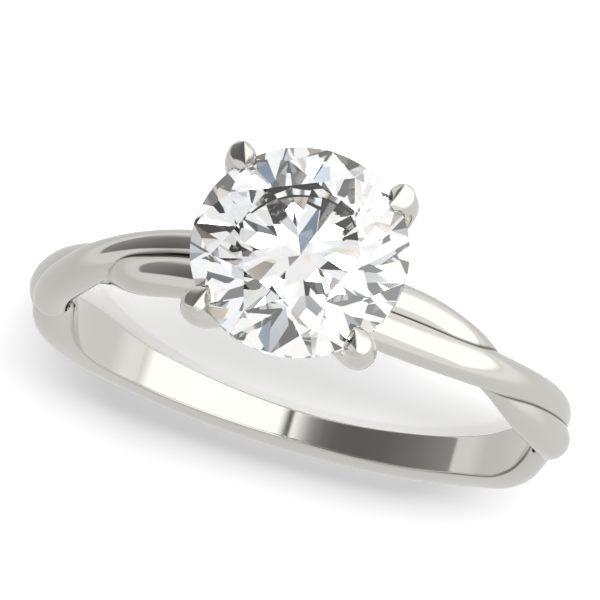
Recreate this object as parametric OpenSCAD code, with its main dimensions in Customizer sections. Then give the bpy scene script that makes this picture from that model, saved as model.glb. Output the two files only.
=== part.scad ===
// Solitaire ring whose shank is two round strands that twist over the shoulders and run into one
// plain band, with a four-prong head soldered on top and a round brilliant stone.
// The ring lies on its side: it rests on the lower rim of the stone and on the bottom of the band.
// Ring coordinates used inside the modules: the finger axis is Z, the head points to -Y, and an
// angle is counted from the head towards +X.

/* [Finger] */
// Diameter of the hole for the finger, US size 7
finger_d = 17.35; // [14.5:0.01:21]

/* [Shank] */
// Diameter of each of the two round strands
strand_d = 1.48; // [1.2:0.01:1.9]
// Thickness of the plain band under the finger
band_t = 1.78; // [1.3:0.01:2.4]
// Greatest width of the band at the bottom of the ring
band_w = 1.6; // [1.2:0.01:2.4]
// Greatest width of the band where the strands run into it
shoulder_w = 2.06; // [1.8:0.01:2.8]

/* [Stone] */
// Diameter of the stone at its girdle
stone_d = 7.13; // [5.5:0.01:8]
// Height of the girdle above the top of the finger hole
stone_rise = 5.18; // [4.9:0.01:6.5]
// Width of the table as a share of the stone's diameter
table_share = 0.57; // [0.5:0.01:0.64]
// Height of the crown as a share of the stone's diameter
crown_share = 0.155; // [0.12:0.005:0.18]
// Depth of the pavilion as a share of the stone's diameter
pavilion_share = 0.425; // [0.38:0.005:0.44]
// Thickness of the girdle as a share of the stone's diameter
girdle_share = 0.025; // [0.015:0.005:0.04]
// Turn of the stone's facets about its own axis, in degrees
stone_turn = 0; // [0:0.5:45]

/* [Head] */
// Thickness of each prong
prong_d = 1.18; // [0.9:0.01:1.4]
// Angle between the long axis of the head and each prong, in degrees
prong_angle = 43; // [38:0.5:50]
// Angle between each claw's ridge and the line to the stone's axis, in degrees
claw_turn = 27; // [0:1:40]
// Gap between the stone and the seat cut for it in the prongs
seat_gap = 0.04; // [0.03:0.01:0.08]

/* [Hidden] */
bore_r = finger_d / 2;
stone_r = stone_d / 2;
girdle_t = stone_d * girdle_share;
crown_h = stone_d * crown_share;
pavilion_h = stone_d * pavilion_share;
// Height of the girdle's middle plane above the ring's centre
girdle_h = bore_r + stone_rise;
top_h = girdle_h + girdle_t / 2;
low_h = girdle_h - girdle_t / 2;
// The facets are drawn to the corners of a 16-sided girdle and cut round at stone_r.
corner_r = stone_r / cos(11.25);
table_r = stone_r * table_share;
// Where the stars, mains and upper halves meet, on the plane of the mains
mid_r = table_r + (stone_r - table_r) * 0.55;
mid_h = crown_h * (corner_r - mid_r * cos(22.5)) / (corner_r - table_r);
// Where the lower halves and mains meet, on the plane of the mains
low_r = stone_r * 0.25;
low_drop = pavilion_h * (corner_r - low_r * cos(22.5)) / corner_r;
// How far the round cut follows the main facets above and below the girdle ring
rim_h = crown_h * (corner_r - stone_r) / (corner_r - table_r);
keel_h = pavilion_h * (corner_r - stone_r) / corner_r;

// One strand: angle from the head, side and height of its centre above the finger hole as shares
// of strand_d, and its thickness as a share of strand_d.
UPPER = [
    [-112, -0.10, 0.07, 0.80],
    [-100, -0.28, 0.17, 0.96],
    [-90, -0.35, 0.25, 1.0],
    [-76, -0.30, 0.43, 0.88],
    [-62, -0.18, 0.56, 0.81],
    [-50, 0.0, 0.53, 0.88],
    [-38, 0.12, 0.43, 1.0],
    [-25, 0.20, 0.32, 1.0],
    [0, 0.20, 0.46, 1.0],
    [25, 0.16, 0.35, 1.0],
    [38, 0.04, 0.28, 1.0],
    [50, -0.22, 0.27, 1.0],
    [62, -0.39, 0.33, 1.0],
    [75, -0.42, 0.54, 1.0],
    [90, -0.31, 0.84, 1.0],
    [100, -0.22, 0.84, 1.0],
    [112, -0.08, 0.68, 0.96]
];
LOWER = [
    [-94, 0.26, 0.16, 0.62],
    [-90, 0.28, 0.37, 0.86],
    [-84, 0.31, 0.51, 0.98],
    [-75, 0.31, 0.36, 1.0],
    [-62, 0.23, 0.30, 1.0],
    [-50, -0.04, 0.31, 0.93],
    [-38, -0.23, 0.30, 1.0],
    [-25, -0.46, 0.35, 1.0],
    [0, -0.42, 0.42, 1.0],
    [25, -0.57, 0.22, 1.0],
    [38, -0.42, 0.35, 1.0],
    [50, -0.18, 0.50, 1.0],
    [62, -0.01, 0.50, 1.0],
    [75, 0.10, 0.55, 1.0],
    [84, 0.18, 0.58, 1.0],
    [90, 0.21, 0.50, 0.86],
    [93, 0.23, 0.38, 0.64]
];
// The band: angle from the head, upper and lower edge on the finger hole as shares of half its
// greatest width there, that greatest width from band_w (0) to shoulder_w (1), and its thickness
// as a share of band_t.
BAND = [
    [84, 0.50, 0.10, 1.0, 0.67],
    [91, 0.78, -0.40, 1.0, 0.92],
    [98, 0.90, -0.64, 1.0, 0.99],
    [110, 0.96, -0.86, 1.0, 0.99],
    [120, 0.90, -0.86, 0.95, 0.97],
    [130, 0.86, -0.84, 0.6, 0.98],
    [143, 0.82, -0.86, 0.35, 0.99],
    [160, 0.76, -0.82, 0.12, 1.0],
    [180, 0.74, -0.74, 0.0, 1.0],
    [195, 0.80, -0.78, 0.08, 1.0],
    [207, 0.84, -0.83, 0.2, 1.0],
    [223, 0.83, -0.85, 0.4, 0.99],
    [233, 0.88, -0.84, 0.75, 0.96],
    [240, 0.92, -0.90, 0.95, 0.84],
    [250, 0.81, -0.94, 1.0, 0.66],
    [256, 0.62, -0.97, 1.0, 0.58],
    [263, 0.40, -1.02, 1.0, 0.54],
    [276, 0.10, -1.0, 1.0, 0.45]
];
// The prong's centre line: distance from the stone's axis as a share of stone_r, and height from
// the top of the strands (0) to the girdle's middle plane (1).
PRONG = [
    [0.13, -0.16],
    [0.22, 0.06],
    [0.50, 0.28],
    [0.80, 0.46],
    [0.98, 0.66],
    [1.05, 0.84],
    [1.05, 0.98]
];

// Cubic through the rows of table t at x, for column c.
function row(t, x, i = 0) = i >= len(t) - 2 || x < t[i + 1][0] ? i : row(t, x, i + 1);
function slope(t, i, c) =
    let (j = max(i - 1, 0), k = min(i + 1, len(t) - 1))
    (t[k][c] - t[j][c]) / (t[k][0] - t[j][0]);
function at(t, x, c) =
    let (
        i = row(t, x),
        h = t[i + 1][0] - t[i][0],
        u = (x - t[i][0]) / h,
        a = t[i][c],
        b = t[i + 1][c],
        p = slope(t, i, c) * h,
        q = slope(t, i + 1, c) * h
    )
    a + p * u + (3 * (b - a) - 2 * p - q) * u * u + (2 * (a - b) + p + q) * u * u * u;

function unit(v) = v / norm(v);
// A point at an angle from the head, at a radius and a side offset.
function spot(a, r, side) = [r * sin(a), -r * cos(a), side];

// Closed skin over rings of equally many points, with flat ends.
module skin(rings) {
    n = len(rings[0]);
    m = len(rings);
    sides = [
        for (i = [0 : m - 2], j = [0 : n - 1])
            let (a = i * n + j, b = i * n + (j + 1) % n)
            each [[a, b + n, b], [a, a + n, b + n]]
    ];
    first = [for (j = [0 : n - 1]) j];
    last = [for (j = [n - 1 : -1 : 0]) (m - 1) * n + j];
    polyhedron([for (r = rings) each r], concat(sides, [first], [last]), convexity = 10);
}

function strand_mid(t, a) =
    spot(a, bore_r + strand_d * at(t, a, 2), strand_d * at(t, a, 1));

// One round strand along its table: its rings of points, and its solid.
function strand_rings(t, sides = 18, step = 4) =
    let (a0 = t[0][0], a1 = t[len(t) - 1][0], n = round((a1 - a0) / step))
    [
        for (i = [0 : n])
            let (
                a = a0 + (a1 - a0) * i / n,
                c = strand_mid(t, a),
                w = unit(strand_mid(t, a + 0.5) - strand_mid(t, a - 0.5)),
                e = unit(cross([sin(a), -cos(a), 0], w)),
                o = cross(w, e),
                r = strand_d / 2 * at(t, a, 3)
            )
            [for (j = [0 : sides - 1]) c + r * (cos(j * 360 / sides) * e + sin(j * 360 / sides) * o)]
    ];
module strand(t) {
    skin(strand_rings(t));
}

// The plain band: a rounded section, flat on the finger, that widens towards the strands. Its
// sides run on into the finger hole, which trims them.
function band_ring(a) =
    let (
        half = (band_w + (shoulder_w - band_w) * at(BAND, a, 3)) / 2,
        up = half * at(BAND, a, 1),
        down = half * at(BAND, a, 2),
        mid = (up + down) / 2,
        flat = (up - down) / 2,
        wide = max(flat * 1.04, half),
        t = band_t * at(BAND, a, 4),
        belly = 0.45 * t,
        sides = [[-0.5, flat - (wide - flat) * 0.75], [0.5, flat + (wide - flat) * 0.75], [1, wide]]
    )
    concat(
        [for (p = sides) spot(a, bore_r + belly * p[0], mid + p[1])],
        [
            for (j = [1 : 9])
                let (g = j * 18, k = 2 / 2.5, s = sign(cos(g)) * pow(abs(cos(g)), k))
                spot(a, bore_r + belly + (t - belly) * pow(sin(g), k), mid + wide * s)
        ],
        [for (i = [2 : -1 : 0]) spot(a, bore_r + belly * sides[i][0], mid - sides[i][1])]
    );
function band_rings(step = 4) = [for (a = [BAND[0][0] : step : BAND[len(BAND) - 1][0]]) band_ring(a)];
module band() {
    skin(band_rings());
}

// Height above the ring's centre at which the prongs leave the strands.
stem_h = bore_r + strand_d * 0.93;
function prong_mid(i) = [PRONG[i][0] * stone_r, stem_h + PRONG[i][1] * (girdle_h - stem_h)];

// One prong, with its foot on the shank and its claw over the crown, leaning in +X. The claw is a
// pointed oval that rises inwards, closed by two facets that meet in a ridge turned by turn.
// Its oval is grown by k, lifted, and squeezed to thin across the ridge.
function claw_ring(turn, k, lift, thin, sides = 16) =
    let (r = prong_d / 2)
    [
        for (j = [0 : sides - 1])
            let (
                g = j * 360 / sides - turn,
                u = r * k * 1.08 * cos(g),
                v = r * k * thin * sin(g) * (1 + 0.22 * cos(g)),
                x = u * cos(turn) - v * sin(turn),
                y = u * sin(turn) + v * cos(turn)
            )
            [stone_r * 1.03 + x, y, girdle_h + lift - 0.4 * x]
    ];
function prong_ring(i, sides = 16) =
    let (
        r = prong_d / 2,
        p = prong_mid(i),
        d = unit(prong_mid(min(i + 1, len(PRONG) - 1)) - prong_mid(max(i - 1, 0)))
    )
    [
        for (j = [0 : sides - 1])
            let (g = j * 360 / sides)
            [p[0] + r * cos(g) * d[1], r * sin(g), p[1] - r * cos(g) * d[0]]
    ];
function prong_tip(turn) = claw_ring(turn, 0.85, 0.70, 0.05);
module prong(turn) {
    skin(concat(
        [for (i = [0 : len(PRONG) - 1]) prong_ring(i)],
        [claw_ring(turn, 1.0, 0.30, 1.0), claw_ring(turn, 0.95, 0.44, 0.95), prong_tip(turn)]
    ));
}

// Outline of the solid that the stone turns in, grown by g.
module stone_outline(g) {
    polygon([
        [0, low_h - pavilion_h - g * 1.4],
        [stone_r + g, low_h - g * 0.4],
        [stone_r + g, top_h + rim_h + g * 0.4],
        [mid_r + g * 0.6, top_h + mid_h + g],
        [table_r + g * 0.4, top_h + crown_h + g],
        [0, top_h + crown_h + g]
    ]);
}

// The four prongs, notched for the girdle.
module head() {
    rotate([90, 0, 0])
        difference() {
            union()
                for (s = [-1, 1], t = [0, 180])
                    rotate([0, 0, t + s * prong_angle])
                        prong(s * claw_turn);
            rotate_extrude($fn = 96)
                stone_outline(seat_gap);
        }
}

// Strands, band and head, soldered: they are joined into one skin at their own size, and the
// finger hole is then bored through it.
module ring_mount_shape() {
    difference() {
        resize([0, 0, 0])
            union() {
                strand(UPPER);
                strand(LOWER);
                band();
                head();
            }
        cylinder(h = 12, r = bore_r, center = true, $fn = 180);
    }
}

// Round brilliant: table, 8 stars, 8 mains and 16 halves above a round girdle, and 8 mains and 16
// halves below it.
module stone_shape() {
    // A ring of n corners at radius r, height h, the first at angle a0.
    function ring(n, r, h, a0) = [
        for (i = [0 : n - 1])
            let (a = a0 + i * 360 / n + stone_turn)
            [r * cos(a), r * sin(a), h]
    ];
    pts = concat(
        ring(8, table_r, top_h + crown_h, 0),
        ring(8, mid_r, top_h + mid_h, 22.5),
        ring(16, corner_r, top_h, 0),
        ring(16, corner_r, low_h, 0),
        ring(8, low_r, low_h - low_drop, 22.5),
        [[0, 0, low_h - pavilion_h]]
    );
    faces = concat(
        [[7, 6, 5, 4, 3, 2, 1, 0]],
        [
            for (i = [0 : 7])
                let (
                    k = (i + 1) % 8,
                    m = 8 + i,
                    p = 8 + (i + 7) % 8,
                    g = 16 + 2 * i,
                    h = 16 + (2 * i + 2) % 16,
                    v = 48 + i,
                    u = 48 + (i + 7) % 8
                )
                each [
                    [i, k, m],
                    [i, m, g, p],
                    [m, g + 1, g],
                    [m, h, g + 1],
                    [g, g + 1, g + 17, g + 16],
                    [g + 1, h, h + 16, g + 17],
                    [v, g + 16, g + 17],
                    [v, g + 17, h + 16],
                    [56, u, g + 16, v]
                ]
        ]
    );
    rotate([90, 0, 0])
        intersection() {
            polyhedron(pts, faces, convexity = 2);
            translate([0, 0, low_h - pavilion_h - 1])
                cylinder(h = pavilion_h + crown_h + 3, r = stone_r, $fn = 144);
        }
}

// How the ring rests on its side. Leaned by g about X, a point p has this height.
function height(p, g) = p[2] * cos(g) - p[1] * sin(g);
band_points = [for (r = band_rings()) each r];
function stone_foot(g) = height([0, keel_h - low_h, -stone_r], g);
function band_foot(g) = min([for (p = band_points) height(p, g)]);
// The lean at which the stone's lower rim and the bottom of the band are at one height
function settle(a, b, n = 30) =
    let (g = (a + b) / 2)
    n == 0 ? g : stone_foot(g) > band_foot(g) ? settle(a, g, n - 1) : settle(g, b, n - 1);
lean = settle(0, 25);
// The middle of the ring's length and width once it is leaned
function along(p) = p[1] * cos(lean) + p[2] * sin(lean);
table_points = [
    for (i = [0 : 7])
        let (a = i * 45 + stone_turn)
        [table_r * cos(a), -top_h - crown_h, table_r * sin(a)]
];
claw_points = [
    for (s = [-1, 1], p = prong_tip(s * claw_turn))
        let (g = 180 + s * prong_angle)
        [p[0] * cos(g) - p[1] * sin(g), -p[2], p[0] * sin(g) + p[1] * cos(g)]
];
strand_points = concat([for (r = strand_rings(UPPER)) each r], [for (r = strand_rings(LOWER)) each r]);
head_end = min([for (p = concat(table_points, claw_points)) along(p)]);
band_end = max([for (p = band_points) along(p)]);
right = max([for (p = concat(strand_points, band_points)) p[0]]);
left = min([for (p = concat(strand_points, band_points)) p[0]]);

// Lays the ring down with its lowest points at height 0 and its middle at the origin.
module lie() {
    translate([-(left + right) / 2, -(head_end + band_end) / 2, -stone_foot(lean)])
        rotate([-lean, 0, 0])
            children();
}

module ring_mount() {
    color([0.84, 0.83, 0.81])
        lie()
            ring_mount_shape();
}

module stone() {
    color([0.93, 0.95, 0.97])
        lie()
            stone_shape();
}

ring_mount();
stone();
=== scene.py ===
import math
import bpy
import numpy as np
from mathutils import Euler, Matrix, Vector


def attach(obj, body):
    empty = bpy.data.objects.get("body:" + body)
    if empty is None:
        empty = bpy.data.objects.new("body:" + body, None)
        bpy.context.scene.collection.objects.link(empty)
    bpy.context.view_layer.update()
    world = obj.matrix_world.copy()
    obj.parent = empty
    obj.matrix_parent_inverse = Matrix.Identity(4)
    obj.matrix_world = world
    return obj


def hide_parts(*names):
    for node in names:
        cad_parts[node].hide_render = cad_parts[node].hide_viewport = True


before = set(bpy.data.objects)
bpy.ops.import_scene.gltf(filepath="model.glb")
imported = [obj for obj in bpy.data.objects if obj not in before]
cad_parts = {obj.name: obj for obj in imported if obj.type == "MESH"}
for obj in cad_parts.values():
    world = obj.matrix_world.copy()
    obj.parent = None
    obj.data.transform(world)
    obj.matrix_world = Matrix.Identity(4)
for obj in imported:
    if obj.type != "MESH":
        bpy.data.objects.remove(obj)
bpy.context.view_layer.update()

# Twisted strands. Two round wires of white gold that cross on each shoulder and run into the
# band. They are drawn and bent to shape, then the finger hole is reamed through them. The upper
# wire crosses on top at the right shoulder; the lower one ends on the near side of the band.
BORE = 8.675
STRAND = 1.48
UPPER = np.array([
    # angle from the head, side and height above the bore, thickness, as shares of STRAND
    [-112, -0.10, 0.40, 0.5],
    [-100, -0.28, 0.17, 0.96],
    [-90, -0.35, 0.25, 1.0],
    [-76, -0.30, 0.42, 0.88],
    [-62, -0.18, 0.46, 0.81],
    [-50, 0.0, 0.47, 0.88],
    [-38, 0.12, 0.42, 1.0],
    [-25, 0.20, 0.32, 1.0],
    [0, 0.20, 0.46, 1.0],
    [25, 0.18, 0.45, 1.0],
    [38, 0.14, 0.36, 1.0],
    [50, -0.21, 0.11, 1.0],
    [62, -0.39, 0.20, 1.0],
    [75, -0.42, 0.51, 1.0],
    [90, -0.31, 0.84, 1.0],
    [100, -0.22, 0.84, 1.0],
    [112, -0.08, 0.60, 0.6],
])
LOWER = np.array([
    [-94, 0.20, 0.18, 0.58],
    [-90, 0.23, 0.34, 0.78],
    [-84, 0.27, 0.48, 0.93],
    [-75, 0.29, 0.33, 1.0],
    [-62, 0.18, 0.10, 1.0],
    [-50, -0.06, 0.05, 0.93],
    [-38, -0.27, 0.35, 0.95],
    [-25, -0.51, 0.36, 0.9],
    [0, -0.42, 0.42, 1.0],
    [25, -0.60, 0.24, 0.92],
    [38, -0.46, 0.37, 0.92],
    [50, -0.22, 0.52, 0.94],
    [62, -0.01, 0.52, 1.0],
    [75, 0.10, 0.57, 1.0],
    [80, 0.15, 0.59, 1.0],
    [83, 0.17, 0.57, 0.98],
    [85, 0.19, 0.52, 0.93],
])
BALL_END = 4.5  # degrees of a strand over which its end is rounded
# The creases are painted darker, and the open groove left of the head gets a wider band of
# painted shade: these are the widths of that painted shade, in millimetres.
CREASE_SHADE_WIDTH, GROOVE_SHADE_WIDTH = 0.07, 0.25  # width of the creases, and of the open groove left of the head
# The ring lies on its side, leaned until stone and band both touch the floor.
LEAN = math.radians(6.75514)
SHIFT = np.array([-0.299156, 2.4007, 1.92787])


def through(table, a):
    """A smooth curve through the table's rows: a cubic between each two rows, whose slope at a
    row is that of the line from the row before it to the row after it."""
    x, y = table[:, 0], table[:, 1:]
    last = len(x) - 1
    before = np.maximum(np.arange(last + 1) - 1, 0)
    after = np.minimum(np.arange(last + 1) + 1, last)
    slope = (y[after] - y[before]) / (x[after] - x[before])[:, None]
    i = np.clip(np.searchsorted(x, a, side="right") - 1, 0, last - 1)
    step = (x[i + 1] - x[i])[:, None]
    u = (a - x[i])[:, None] / step
    p, q, d = slope[i] * step, slope[i + 1] * step, y[i + 1] - y[i]
    return y[i] + p * u + (3 * d - 2 * p - q) * u**2 + (p + q - 2 * d) * u**3


def even(values, reach):
    """Each row becomes the weighted mean of its neighbours within reach rows, with weights that
    fall off as a cosine, and the end rows are carried on straight."""
    w = np.cos(np.linspace(-1, 1, 2 * reach + 1) * math.pi / 2) ** 2
    w /= w.sum()
    k = np.arange(reach, 0, -1)[:, None]
    head = values[0] - k * (values[1] - values[0])
    tail = values[-1] + k[::-1] * (values[-1] - values[-2])
    long = np.concatenate([head, values, tail])
    return np.stack([np.convolve(c, w, "valid") for c in long.T], 1)


def spot(a, r, side):
    """The point at an angle from the head, a radius from the finger's axis and a side offset."""
    return np.stack([r * np.sin(np.radians(a)), -r * np.cos(np.radians(a)), side + 0 * r], -1)


def ream(p, proud=0.0, soft=0.07):
    """Points closer to the finger's axis than BORE move straight out to it. The move starts
    gently, as half of h plus the root of h squared and soft squared, h being the height above
    the bore, so that the edge of the hole is rounded over."""
    r = np.hypot(p[..., 0], p[..., 1])
    h = r - BORE - proud
    out = BORE + proud + (h + np.sqrt(h**2 + soft**2)) / 2 - soft**2 / (4 * np.abs(h) + 4 * soft)
    return np.concatenate([p[..., :2] * (out / r)[..., None], p[..., 2:]], -1)


def lay(p):
    """Ring coordinates in millimetres to the floor's in metres: leaned about X, then moved."""
    c, s = math.cos(LEAN), math.sin(LEAN)
    x, y, z = p[..., 0], p[..., 1], p[..., 2]
    return (np.stack([x, y * c + z * s, z * c - y * s], -1) + SHIFT) * 0.001


def closed_skin(name, rings):
    """A mesh over rings of equally many points, joined by four-sided faces, with each end closed
    to its middle point. Rings run round the path so that the faces point outwards."""
    m, n = rings.shape[:2]
    i, j = np.meshgrid(np.arange(m - 1), np.arange(n), indexing="ij")
    k = (j + 1) % n
    quads = np.stack([i * n + j, i * n + k, (i + 1) * n + k, (i + 1) * n + j], -1).reshape(-1, 4)
    j, k = np.arange(n), (np.arange(n) + 1) % n
    first = np.stack([k, j, 0 * j + m * n], 1)
    final = np.stack([j, k, 0 * j + m * n + 1], 1) + np.array([(m - 1) * n, (m - 1) * n, 0])
    points = np.concatenate([rings.reshape(-1, 3), rings[[0, -1]].mean(1)])
    loops = np.concatenate([quads.ravel(), first.ravel(), final.ravel()]).astype(np.int32)
    sizes = np.concatenate([np.full(len(quads), 4), np.full(2 * n, 3)])
    mesh = bpy.data.meshes.new(name)
    mesh.vertices.add(len(points))
    mesh.vertices.foreach_set("co", points.astype(np.float32).ravel())
    mesh.loops.add(len(loops))
    mesh.loops.foreach_set("vertex_index", loops)
    mesh.polygons.add(len(sizes))
    starts = np.concatenate([[0], np.cumsum(sizes)[:-1]]).astype(np.int32)
    mesh.polygons.foreach_set("loop_start", starts)
    mesh.polygons.foreach_set("use_smooth", np.ones(len(sizes), bool))
    mesh.update(calc_edges=True)
    mesh.validate()
    piece = bpy.data.objects.new(name, mesh)
    bpy.context.scene.collection.objects.link(piece)
    return piece


def strand_path(table, step=0.36):
    """Angles along the table and 1 degree past its ends, the strand's middle line there, and its
    radius, which at the two ends shrinks as a ball does."""
    a = np.arange(table[0, 0] - 1.0, table[-1, 0] + 1.0 + step, step)
    row = even(through(table, np.clip(a, table[0, 0], table[-1, 0])), 10)
    end = np.clip(np.minimum(a - a[0], a[-1] - a) / BALL_END, 0, 1)
    r = STRAND / 2 * row[:, 2] * np.sqrt(1 - (1 - end) ** 2 * 0.998)
    return a, spot(a, BORE + STRAND * row[:, 1], STRAND * row[:, 0]), r


def strand_rings(table, sides=128):
    """Circles about the strand's middle line, each square to it."""
    a, mid, r = strand_path(table)
    along = np.gradient(mid, axis=0)
    along /= np.linalg.norm(along, axis=1, keepdims=True)
    across = np.cross(spot(a, np.ones(len(a)), 0), along)
    across /= np.linalg.norm(across, axis=1, keepdims=True)
    out = np.cross(along, across)
    t = np.linspace(0, 2 * math.pi, sides, endpoint=False)[None, :, None]
    ring = np.cos(t) * across[:, None] + np.sin(t) * out[:, None]
    return mid[:, None] + r[:, None, None] * ring


def crease_shade(rings, tables):
    """How much painted shade each point gets in the crease against other strands: 1 where it
    touches their skin, falling off as a bell to 0 at the crease's width, and 0 on the wall of the
    finger hole. Left of the head the painted shade widens to the groove's width and closes again
    at 44 degrees."""
    p = rings.reshape(-1, 3)
    a = np.degrees(np.arctan2(p[:, 0], -p[:, 1]))
    width = CREASE_SHADE_WIDTH + (GROOVE_SHADE_WIDTH - CREASE_SHADE_WIDTH) * np.clip((a - 12) / 12, 0, 1)
    width = np.where((a > 0) & (a < 90), width * np.clip((44 - a) / 14, 0.01, 1), CREASE_SHADE_WIDTH)
    painted_shade = np.zeros(len(p))
    for table in tables:
        _, mid, r = strand_path(table)
        gap = np.concatenate([
            (np.linalg.norm(part[:, None] - mid[None], axis=2) - r).min(1)
            for part in np.array_split(p, 24)
        ])
        painted_shade = np.maximum(painted_shade, np.clip(1 - (gap / width) ** 2, 0, 1) ** 2)
    painted_shade *= np.clip((np.hypot(p[:, 0], p[:, 1]) - BORE) / 0.15 - 0.5, 0, 1)
    return np.concatenate([painted_shade, np.zeros(2)])


def polish_and_crease_shade():
    """Node group: a hand-polished surface with painted crease shade. Broad and fine noise on
    Object coordinates sways the tone by a hundredth or two and the roughness between two values,
    the same noise lifts the surface very slightly, and shade is painted into the tone in creases,
    mixing it towards the Shade colour by the Crease input."""
    g = bpy.data.node_groups.new("polish_and_crease_shade", "ShaderNodeTree")
    for name, kind in (("Tone", "NodeSocketColor"), ("Shade", "NodeSocketColor"),
                       ("Crease", "NodeSocketFloat"), ("Smooth", "NodeSocketFloat"),
                       ("Dull", "NodeSocketFloat")):
        g.interface.new_socket(name, in_out="INPUT", socket_type=kind)
    for name, kind in (("Tone", "NodeSocketColor"), ("Roughness", "NodeSocketFloat"),
                       ("Height", "NodeSocketFloat")):
        g.interface.new_socket(name, in_out="OUTPUT", socket_type=kind)
    start, end = g.nodes.new("NodeGroupInput"), g.nodes.new("NodeGroupOutput")
    place = g.nodes.new("ShaderNodeTexCoord")
    waves, grain = g.nodes.new("ShaderNodeTexNoise"), g.nodes.new("ShaderNodeTexNoise")
    waves.inputs["Scale"].default_value = 420
    waves.inputs["Detail"].default_value = 2
    grain.inputs["Scale"].default_value = 5200
    grain.inputs["Detail"].default_value = 3
    g.links.new(place.outputs["Object"], waves.inputs["Vector"])
    g.links.new(place.outputs["Object"], grain.inputs["Vector"])
    sway = g.nodes.new("ShaderNodeMapRange")
    sway.inputs["To Min"].default_value = 0.975
    sway.inputs["To Max"].default_value = 1.025
    g.links.new(waves.outputs["Fac"], sway.inputs["Value"])
    tint = g.nodes.new("ShaderNodeVectorMath")
    tint.operation = "SCALE"
    g.links.new(start.outputs["Tone"], tint.inputs[0])
    g.links.new(sway.outputs["Result"], tint.inputs["Scale"])
    # painted shade: the swayed tone is mixed towards the Shade colour by the Crease value
    dark = g.nodes.new("ShaderNodeMix")
    dark.data_type = "RGBA"
    g.links.new(start.outputs["Crease"], dark.inputs["Factor"])
    g.links.new(tint.outputs[0], dark.inputs["A"])
    g.links.new(start.outputs["Shade"], dark.inputs["B"])
    g.links.new(dark.outputs["Result"], end.inputs["Tone"])
    rough = g.nodes.new("ShaderNodeMapRange")
    rough.inputs["From Min"].default_value = 0.3
    rough.inputs["From Max"].default_value = 0.7
    g.links.new(grain.outputs["Fac"], rough.inputs["Value"])
    g.links.new(start.outputs["Smooth"], rough.inputs["To Min"])
    g.links.new(start.outputs["Dull"], rough.inputs["To Max"])
    g.links.new(rough.outputs["Result"], end.inputs["Roughness"])
    g.links.new(waves.outputs["Fac"], end.inputs["Height"])
    return g


POLISH_AND_SHADE = polish_and_crease_shade()


def white_gold():
    """Polished white gold, with shade painted into its tone in the creases between soldered
    pieces and along the edges of the finger hole.
    """
    m = bpy.data.materials.new("polished_white_gold")
    m.use_nodes = True
    n, link = m.node_tree.nodes, m.node_tree.links
    b = n["Principled BSDF"]
    b.inputs["Metallic"].default_value = 1
    polish_and_shade = n.new("ShaderNodeGroup")
    polish_and_shade.node_tree = POLISH_AND_SHADE
    polish_and_shade.inputs["Tone"].default_value = (0.70, 0.685, 0.64, 1)
    # painted shade: the dark colour that the creases and the hole's edges are painted towards
    polish_and_shade.inputs["Shade"].default_value = (0.10, 0.095, 0.085, 1)
    polish_and_shade.inputs["Smooth"].default_value = 0.04
    polish_and_shade.inputs["Dull"].default_value = 0.075
    # the attribute gives how much painted shade each point gets
    painted_shade = n.new("ShaderNodeAttribute")
    painted_shade.attribute_name = "crease"
    link.new(painted_shade.outputs["Fac"], polish_and_shade.inputs["Crease"])
    lift = n.new("ShaderNodeBump")
    lift.inputs["Strength"].default_value = 0.12
    lift.inputs["Distance"].default_value = 0.00001
    link.new(polish_and_shade.outputs["Height"], lift.inputs["Height"])
    link.new(lift.outputs["Normal"], b.inputs["Normal"])
    link.new(polish_and_shade.outputs["Tone"], b.inputs["Base Color"])
    link.new(polish_and_shade.outputs["Roughness"], b.inputs["Roughness"])
    return m


GOLD = white_gold()


def fit(piece, painted_shade=None):
    """The piece gets its gold and, when given, how much shade is painted into its creases, and
    rides with the CAD's metal part.
    """
    if painted_shade is not None:
        # the painted crease shade, stored on the mesh for the gold to read
        crease = piece.data.attributes.new("crease", "FLOAT", "POINT")
        crease.data.foreach_set("value", painted_shade.astype(np.float32))
    piece.data.materials.append(GOLD)
    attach(piece, "root")
    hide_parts("ring_mount")


# each strand gets shade painted into its creases against the other strand
for name, table, other in (("upper_strand", UPPER, LOWER), ("lower_strand", LOWER, UPPER)):
    rings = ream(strand_rings(table), 0.012)
    fit(closed_skin(name, lay(rings)), crease_shade(rings, [other]))

# Band. The plain part of the shank under the finger, of the same gold: rolled flat inside and
# domed outside, and soldered to the strands at both shoulders.
BAND_T = 1.78
BAND_W = 1.6
SHOULDER_W = 2.06
BELLY = 0.45  # height of the band's widest line, as a share of its thickness
SQUARE = 0.8  # power that squares up the oval over it
RUN_OUT = 9  # degrees over which each end thins
BAND = np.array([
    # angle, upper and lower edge in half widths, width from BAND_W to SHOULDER_W, thickness
    [74, 0.26, -0.08, -1.4, 0.46],
    [84, 0.50, -0.20, -0.7, 0.80],
    [91, 0.80, -0.45, 0.2, 0.94],
    [98, 0.92, -0.64, 0.8, 0.98],
    [110, 0.96, -0.86, 1.0, 0.99],
    [120, 0.90, -0.86, 0.95, 0.92],
    [130, 0.86, -0.84, 0.6, 0.86],
    [143, 0.82, -0.86, 0.35, 0.90],
    [160, 0.76, -0.82, 0.12, 0.98],
    [180, 0.74, -0.74, 0.0, 1.0],
    [195, 0.80, -0.78, 0.08, 1.0],
    [207, 0.84, -0.83, 0.2, 1.0],
    [223, 0.83, -0.85, 0.4, 0.99],
    [233, 0.88, -0.84, 0.75, 0.96],
    [240, 0.92, -0.90, 0.95, 0.84],
    [250, 0.81, -0.94, 1.0, 0.66],
    [256, 0.62, -0.97, 1.0, 0.58],
    [263, 0.40, -1.02, 1.0, 0.54],
    [270, 0.14, -1.06, 0.3, 0.50],
    [276, 0.0, -1.14, -0.5, 0.42],
])


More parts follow.
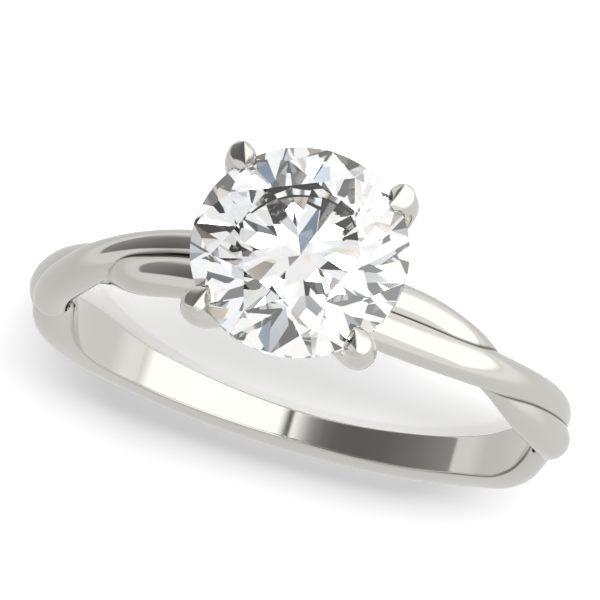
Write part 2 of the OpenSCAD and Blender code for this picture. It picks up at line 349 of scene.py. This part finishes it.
def band_rings(step=0.75):
    """Sections of the band. From the finger hole each side swells out as a parabola up to its
    widest line, and above that the section is half of an oval whose sides and height follow a
    power of the cosine and sine. Towards its two ends the section thins to a fifth by a parabola
    and so runs out inside the strands."""
    a = np.arange(BAND[0, 0], BAND[-1, 0] + step, step)
    up, down, grow, thick = even(through(BAND, a), 5).T[:, :, None]
    half = (BAND_W + (SHOULDER_W - BAND_W) * grow) / 2
    middle, flat = half * (up + down) / 2, half * (up - down) / 2
    wide = np.maximum(flat * 1.04, half)
    t = BAND_T * thick
    belly = BELLY * t
    s = np.linspace(-0.5, 1, 19)[:-1]
    side = wide - (wide - flat) * (1 - s) ** 2
    g = np.linspace(0, math.pi, 65)
    arch = wide * np.sign(np.cos(g)) * np.abs(np.cos(g)) ** SQUARE
    f = np.linspace(-1, 1, 25)[1:-1]
    floor = side[:, :1] * f
    across = np.concatenate([side, arch, -side[:, ::-1], floor], 1)
    high = np.concatenate([
        belly * s,
        belly + (t - belly) * np.abs(np.sin(g)) ** SQUARE,
        belly * s[::-1],
        -0.5 * belly + 0 * floor,
    ], 1)
    end = np.clip(1 - np.minimum(a - a[0], a[-1] - a) / RUN_OUT, 0, 1)
    high = t / 2 + (high - t / 2) * (1 - 0.8 * end[:, None] ** 2)
    return spot(a[:, None] + 0 * high, BORE + high, middle + across)


def rim(rings):
    """How much painted shade the band gets in its seams with the strands, and how strong a
    painted dark line it gets along its edges at the finger hole. An edge line is a bell as wide
    as a crease about the hole's radius, full from 224 to 258 degrees and a third elsewhere. The
    seams' painted shade fades out over the last degrees, by the lower strand's end."""
    p = rings.reshape(-1, 3)
    a = np.degrees(np.arctan2(p[:, 0], -p[:, 1])) % 360
    full = np.clip(np.minimum(a - 214, 268 - a) / 10, 0, 1)
    h = (np.hypot(p[:, 0], p[:, 1]) - BORE - 0.01) / CREASE_SHADE_WIDTH
    edge = np.append(np.clip(1 - h**2, 0, 1) * (0.35 + 0.65 * full), [0, 0])
    faint = np.append(np.clip((267 - a) / 5, 0, 1), [0, 0])
    return np.maximum(crease_shade(ream(rings), [UPPER, LOWER]) * faint, edge)


rings = band_rings()
# the band, with shade painted into its seams with the strands and a painted dark line along the
# edges of the finger hole
fit(closed_skin("band", lay(ream(rings))), rim(rings))

# Head. Four prongs of round wire, soldered to the shank in two pairs that lean apart, notched for
# the stone's girdle. Their tips are bent over the crown and filed to two faces with a ridge.
STONE_R = 3.565
GIRDLE = 13.855
PRONG_R = 0.59
PRONG_ANGLE = 43
CLAW_TURN = math.radians(27)
SEAT_GAP = 0.04
STEM = BORE + STRAND * 0.93
PRONG = np.array([
    # distance from the stone's axis in its radii, height from the shank (0) to the girdle (1)
    [0.13, -0.16],
    [0.22, 0.06],
    [0.50, 0.28],
    [0.80, 0.46],
    [0.98, 0.66],
    [1.05, 0.84],
    [1.05, 0.98],
])
SEAT = np.array([
    # height and radius of the stone's outline, from culet to table
    [10.735, 0.0],
    [13.766, 3.565],
    [13.998, 3.565],
    [14.361, 2.876],
    [15.049, 2.032],
])


def prong_rings(turn, sides=96):
    """A round wire bent through the table's points and an eighth thinner at its top; above it an
    upright neck, pear-shaped from above; and on top a tip with a ridge on the side towards the
    next pair. From the ridge, which is rounded by the root of a sum of powers, two faces fall
    almost straight, and at the rim they roll over as a quarter oval."""
    t = np.linspace(0, 2 * math.pi, sides, endpoint=False)
    i = np.linspace(0, 6, 97)
    p = through(np.column_stack([np.arange(7), PRONG]), i)
    x, z = p[:, 0] * STONE_R, STEM + p[:, 1] * (GIRDLE - STEM)
    d = np.stack([np.gradient(x), np.gradient(z)])
    d /= np.linalg.norm(d, axis=0)
    x, z, dx, dz = x[:, None], z[:, None], d[0][:, None], d[1][:, None]
    thick = PRONG_R * (1 - 0.12 * np.clip(i / 2 - 2, 0, 1)[:, None])
    ct, st = thick * np.cos(t), thick * np.sin(t)
    wire = np.stack([x + ct * dz, st + 0 * x, z - ct * dx], -1)

    def pear(k, lift, thin, aside=0.0):
        """The sine of the angle times a power of half of 1 plus its cosine, k wires wide, set
        aside towards the next pair, and rising a little away from the stone."""
        g = t - turn
        u = PRONG_R * k * np.cos(g)
        flank = np.sin(g) * (0.5 + 0.5 * np.cos(g)) ** 0.22 * 1.12
        v = PRONG_R * (k * thin * flank + aside * math.copysign(1, turn))
        ox, oy = u * math.cos(turn) - v * math.sin(turn), u * math.sin(turn) + v * math.cos(turn)
        return np.stack([STONE_R * 1.03 + ox, oy, GIRDLE + lift + 0.08 * ox], -1)

    keys = np.stack([wire[-1], pear(0.90, 0.21, 0.94), pear(0.92, 0.31, 0.84)])
    f = np.linspace(0, 1, 13)[1:, None, None]
    neck = np.concatenate([keys[0] + (keys[1] - keys[0]) * f, keys[1] + (keys[2] - keys[1]) * f])
    ridge = pear(0.66, 0.68, 0.02, 0.2)
    s = np.cos(np.linspace(0, 1.36, 22))[1:]
    s = np.concatenate([s, s[-1] * np.linspace(1, 0, 9)[1:]])[:, None, None]
    rise = 1 - 0.8 * (np.sqrt(s**2.3 + 0.0081) - 0.09)
    rise = rise * np.sqrt(1 - np.maximum(s / 0.2 - 4, 0) ** 2)
    tip = ridge + (keys[2] - ridge) * s
    tip[..., 2] = keys[2][None, :, 2] + (ridge - keys[2])[None, :, 2] * rise[..., 0]
    return np.concatenate([wire, neck, tip])


def notch(p, soft=0.03):
    """Points inside the stone's outline, widened by the seat's gap, move straight away from the
    stone's axis to it, starting gently."""
    r = np.hypot(p[..., 0], p[..., 1])
    seat = np.interp(p[..., 2], SEAT[:, 0], SEAT[:, 1], left=-1, right=-1)
    h = r - seat - SEAT_GAP * 1.1
    out = np.where(seat < 0, r, r - h + (h + np.sqrt(h**2 + soft**2)) / 2)
    return np.concatenate([p[..., :2] * (out / r)[..., None], p[..., 2:]], -1)


PRONGS = (("prong_a", 0, -1), ("prong_b", 0, 1), ("prong_c", 1, -1), ("prong_d", 1, 1))
for name, side, turn in PRONGS:
    rings = notch(prong_rings(turn * CLAW_TURN))
    g = math.pi * side + turn * math.radians(PRONG_ANGLE)
    x = rings[..., 0] * math.cos(g) - rings[..., 1] * math.sin(g)
    y = rings[..., 0] * math.sin(g) + rings[..., 1] * math.cos(g)
    fit(closed_skin(name, lay(np.stack([x, -rings[..., 2], y], -1))))

# Stone. A round brilliant, cut and polished, held by the four claws. It throws no shadow, as
# clear stone lets most of the light through.


def brilliant():
    """Clear stone that refracts a little more than diamond, which brightens its facets. Its tint
    wanders between blue-white and warm white, painted in as a stand-in for the stone's coloured
    fire."""
    m = bpy.data.materials.new("brilliant_stone")
    m.use_nodes = True
    b = m.node_tree.nodes["Principled BSDF"]
    where = m.node_tree.nodes.new("ShaderNodeTexCoord")
    cells = m.node_tree.nodes.new("ShaderNodeTexNoise")
    cells.inputs["Scale"].default_value = 900
    # painted fire: random patches of blue-white and warm-white tint stand in for the coloured
    # light a cut stone splits off
    tint = m.node_tree.nodes.new("ShaderNodeValToRGB")
    for k, (at, colour) in enumerate(((0.35, (0.90, 0.94, 1.0)), (0.65, (1.0, 0.97, 0.92)))):
        tint.color_ramp.elements[k].position = at
        tint.color_ramp.elements[k].color = (*colour, 1)
    m.node_tree.links.new(where.outputs["Object"], cells.inputs["Vector"])
    m.node_tree.links.new(cells.outputs[0], tint.inputs[0])
    m.node_tree.links.new(tint.outputs[0], b.inputs["Base Color"])
    b.inputs["Roughness"].default_value = 0
    b.inputs["IOR"].default_value = 2.6
    b.inputs["Transmission Weight"].default_value = 1
    return m


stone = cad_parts["stone"]
stone.data.materials.clear()
stone.data.materials.append(brilliant())
stone.visible_shadow = False

# Floor. A plain white table top that the ring lies on, lit a little from within. The metal
# doesn't mirror it and the stone doesn't show it, only the studio, because the ring of the
# photograph stands clear of any surface.
plane = bpy.data.meshes.new("floor")
plane.from_pydata([(-2, -2, 0), (2, -2, 0), (2, 2, 0), (-2, 2, 0)], [], [(0, 1, 2, 3)])
floor = bpy.data.objects.new("floor", plane)
bpy.context.scene.collection.objects.link(floor)
pale = bpy.data.materials.new("pale_floor")
pale.use_nodes = True
paint = pale.node_tree.nodes["Principled BSDF"]
paint.inputs["Base Color"].default_value = (0.9, 0.9, 0.9, 1)
paint.inputs["Roughness"].default_value = 0.8
paint.inputs["Emission Color"].default_value = (1, 1, 1, 1)
paint.inputs["Emission Strength"].default_value = 0.27
plane.materials.append(pale)
floor.visible_glossy = False
floor.visible_transmission = False

# Studio. Even light from all round, a long softbox on the camera's right and a dark screen on its
# left that shades off towards the softbox. Both are drawn on the sky by bearing and height. A
# wide lamp low behind the camera throws the ring's soft shadow away from it.
world = bpy.data.worlds.new("studio")
bpy.context.scene.world = world
world.use_nodes = True
sky = world.node_tree


def figure(kind, *values, **settings):
    """A node of the sky, its inputs filled in order with numbers or with other nodes' values."""
    node = sky.nodes.new(kind)
    for key, value in settings.items():
        setattr(node, key, value)
    for socket, value in zip(node.inputs, values):
        if isinstance(value, bpy.types.NodeSocket):
            sky.links.new(value, socket)
        elif value is not None:
            socket.default_value = value
    return node.outputs[0]


def maths(kind, *values):
    """One step of arithmetic on the sky."""
    return figure("ShaderNodeMath", *values, operation=kind)


def fade(value, start, end):
    """0 at start and beyond, 1 at end and beyond, with a smooth step between."""
    value = maths("DIVIDE", maths("SUBTRACT", value, start), maths("SUBTRACT", end, start))
    return figure("ShaderNodeMapRange", value, interpolation_type="SMOOTHSTEP")


east, north, up = figure("ShaderNodeSeparateXYZ", figure("ShaderNodeTexCoord")).node.outputs
bearing = maths("DEGREES", maths("ARCTAN2", north, east))
height = maths("DEGREES", maths("ARCSINE", up))
room = maths("MULTIPLY_ADD", east, -0.09, 0.95)
# the wall behind the ring is a fifth darker
behind = maths("MULTIPLY", fade(bearing, 4.0, 20.0), fade(bearing, 172.0, 156.0))
room = maths("MULTIPLY", room, maths("MULTIPLY_ADD", behind, -0.19, 1.0))
# brightness along the row of softbox and screen, by bearing in degrees
PEAK = 1.5
ROW = [
    (-178, 0.94), (-172, PEAK), (-100, PEAK), (-98, 1.1), (-95.6, 0.18), (-94.2, 0.18),
    (-93, 1.24), (-91, 1.22), (-89, 0.92), (-87, 0.71), (-85, 0.51), (-83, 0.39), (-81, 0.31),
    (-77, 0.22), (-71, 0.17), (-60, 0.16), (-45, 0.17), (-25, 0.24), (-6, 0.33), (-4, 0.88),
]
row = sky.nodes.new("ShaderNodeValToRGB")
for k, (at, light) in enumerate(ROW):
    stop = row.color_ramp.elements.new(at / 180 + 1) if k > 1 else row.color_ramp.elements[k]
    stop.position = at / 180 + 1
    stop.color = (light / PEAK, light / PEAK, light / PEAK, 1)
sky.links.new(maths("MULTIPLY_ADD", bearing, 1 / 180, 1.0), row.inputs[0])
# the row's upper edge slopes down towards the screen's end and is soft by 4 degrees each way
SOFT_EDGE = 4.0
top = maths("MINIMUM", maths("MULTIPLY_ADD", bearing, -0.62, 3.0), 41.0)
under = fade(height, maths("ADD", top, SOFT_EDGE), maths("SUBTRACT", top, SOFT_EDGE))
inside = maths("MULTIPLY", under, fade(height, -57.0, -33.0))
inside = maths("MULTIPLY", inside, maths("LESS_THAN", bearing, -3.9))
# the screen darkens upwards
shade = maths("MAXIMUM", maths("MULTIPLY_ADD", height, -0.0085, -0.12), -0.5)
shade = maths("MULTIPLY_ADD", shade, maths("GREATER_THAN", bearing, -92.0), 1.0)
lit = maths("MULTIPLY", maths("MULTIPLY", row.outputs[0], PEAK), shade)
lit = maths("ADD", maths("MULTIPLY", inside, maths("SUBTRACT", lit, room)), room)

# What the stone's facets throw back is the room's clutter, mostly bright with dark patches. Its
# red, green and blue are drawn a little apart, which gives the facets their slight fire.
LIGHTEST = 1.25
clutter = sky.nodes.new("ShaderNodeCombineColor")
for k, apart in enumerate((-0.0018, 0.0, 0.0018)):
    way = figure("ShaderNodeVectorMath", figure("ShaderNodeTexCoord"), (apart, apart, -apart))
    cells = figure("ShaderNodeTexNoise", way, None, 4.3, 1.0)
    ramp = sky.nodes.new("ShaderNodeValToRGB")
    for j, (at, light) in enumerate(((0.37, 0.03), (0.40, 0.24), (0.435, 0.6), (0.48, 1.0))):
        stop = ramp.color_ramp.elements.new(at) if j > 1 else ramp.color_ramp.elements[j]
        stop.position = at
        stop.color = (light, light, light, 1)
    sky.links.new(cells, ramp.inputs[0])
    sky.links.new(maths("MULTIPLY", ramp.outputs[0], LIGHTEST), clutter.inputs[k])
through_stone = figure("ShaderNodeLightPath").node.outputs["Is Transmission Ray"]
both = sky.nodes.new("ShaderNodeMix")
both.data_type = "RGBA"
sky.links.new(through_stone, both.inputs["Factor"])
sky.links.new(lit, both.inputs["A"])
sky.links.new(clutter.outputs[0], both.inputs["B"])
sky.links.new(both.outputs["Result"], sky.nodes["Background"].inputs["Color"])
# the floor gets a third of the sky's light, so that the lamp's shadow shows on it
on_floor = figure("ShaderNodeLightPath").node.outputs["Is Diffuse Ray"]
strength = maths("MULTIPLY_ADD", on_floor, -0.65, 1.0)
sky.links.new(strength, sky.nodes["Background"].inputs["Strength"])
bpy.context.scene.view_settings.view_transform = "Standard"

lamp = bpy.data.lights.new("shadow_lamp", "AREA")
lamp.shape = "ELLIPSE"
lamp.size = 0.22
lamp.size_y = 0.06
lamp.energy = 4.6
lamp = bpy.data.objects.new("shadow_lamp", lamp)
LAMP_EAST, LAMP_UP, LAMP_AWAY = math.radians(-99), math.radians(10.5), 0.3
way = Vector((
    math.cos(LAMP_EAST) * math.cos(LAMP_UP),
    math.sin(LAMP_EAST) * math.cos(LAMP_UP),
    math.sin(LAMP_UP),
))
lamp.location = way * LAMP_AWAY
lamp.rotation_euler = way.to_track_quat("Z", "Y").to_euler()
lamp.visible_glossy = False
bpy.context.scene.collection.objects.link(lamp)

# a soft spot from above whitens the floor inside the ring
spot_lamp = bpy.data.lights.new("spot_lamp", "SPOT")
spot_lamp.energy = 0.55
spot_lamp.spot_size = math.radians(4.8)
spot_lamp.spot_blend = 0.9
spot_lamp.shadow_soft_size = 0.009
spot_lamp = bpy.data.objects.new("spot_lamp", spot_lamp)
spot_lamp.location = (-0.0005, 0.0045, 0.2)
spot_lamp.visible_glossy = False
bpy.context.scene.collection.objects.link(spot_lamp)

# Camera. It looks at the ring from above the floor, rolled so that the head stands as in the
# photograph.
lens = bpy.data.cameras.new("camera")
lens.lens = 191.42
lens.sensor_width = 36
lens.clip_start = 0.01
camera = bpy.data.objects.new("camera", lens)
camera.location = (-0.0103549, -0.1054231, 0.0452762)
camera.rotation_euler = Euler([math.radians(k) for k in (-66.04985, 15.97538, -178.8468)], "XYZ")
bpy.context.scene.collection.objects.link(camera)
bpy.context.scene.camera = camera
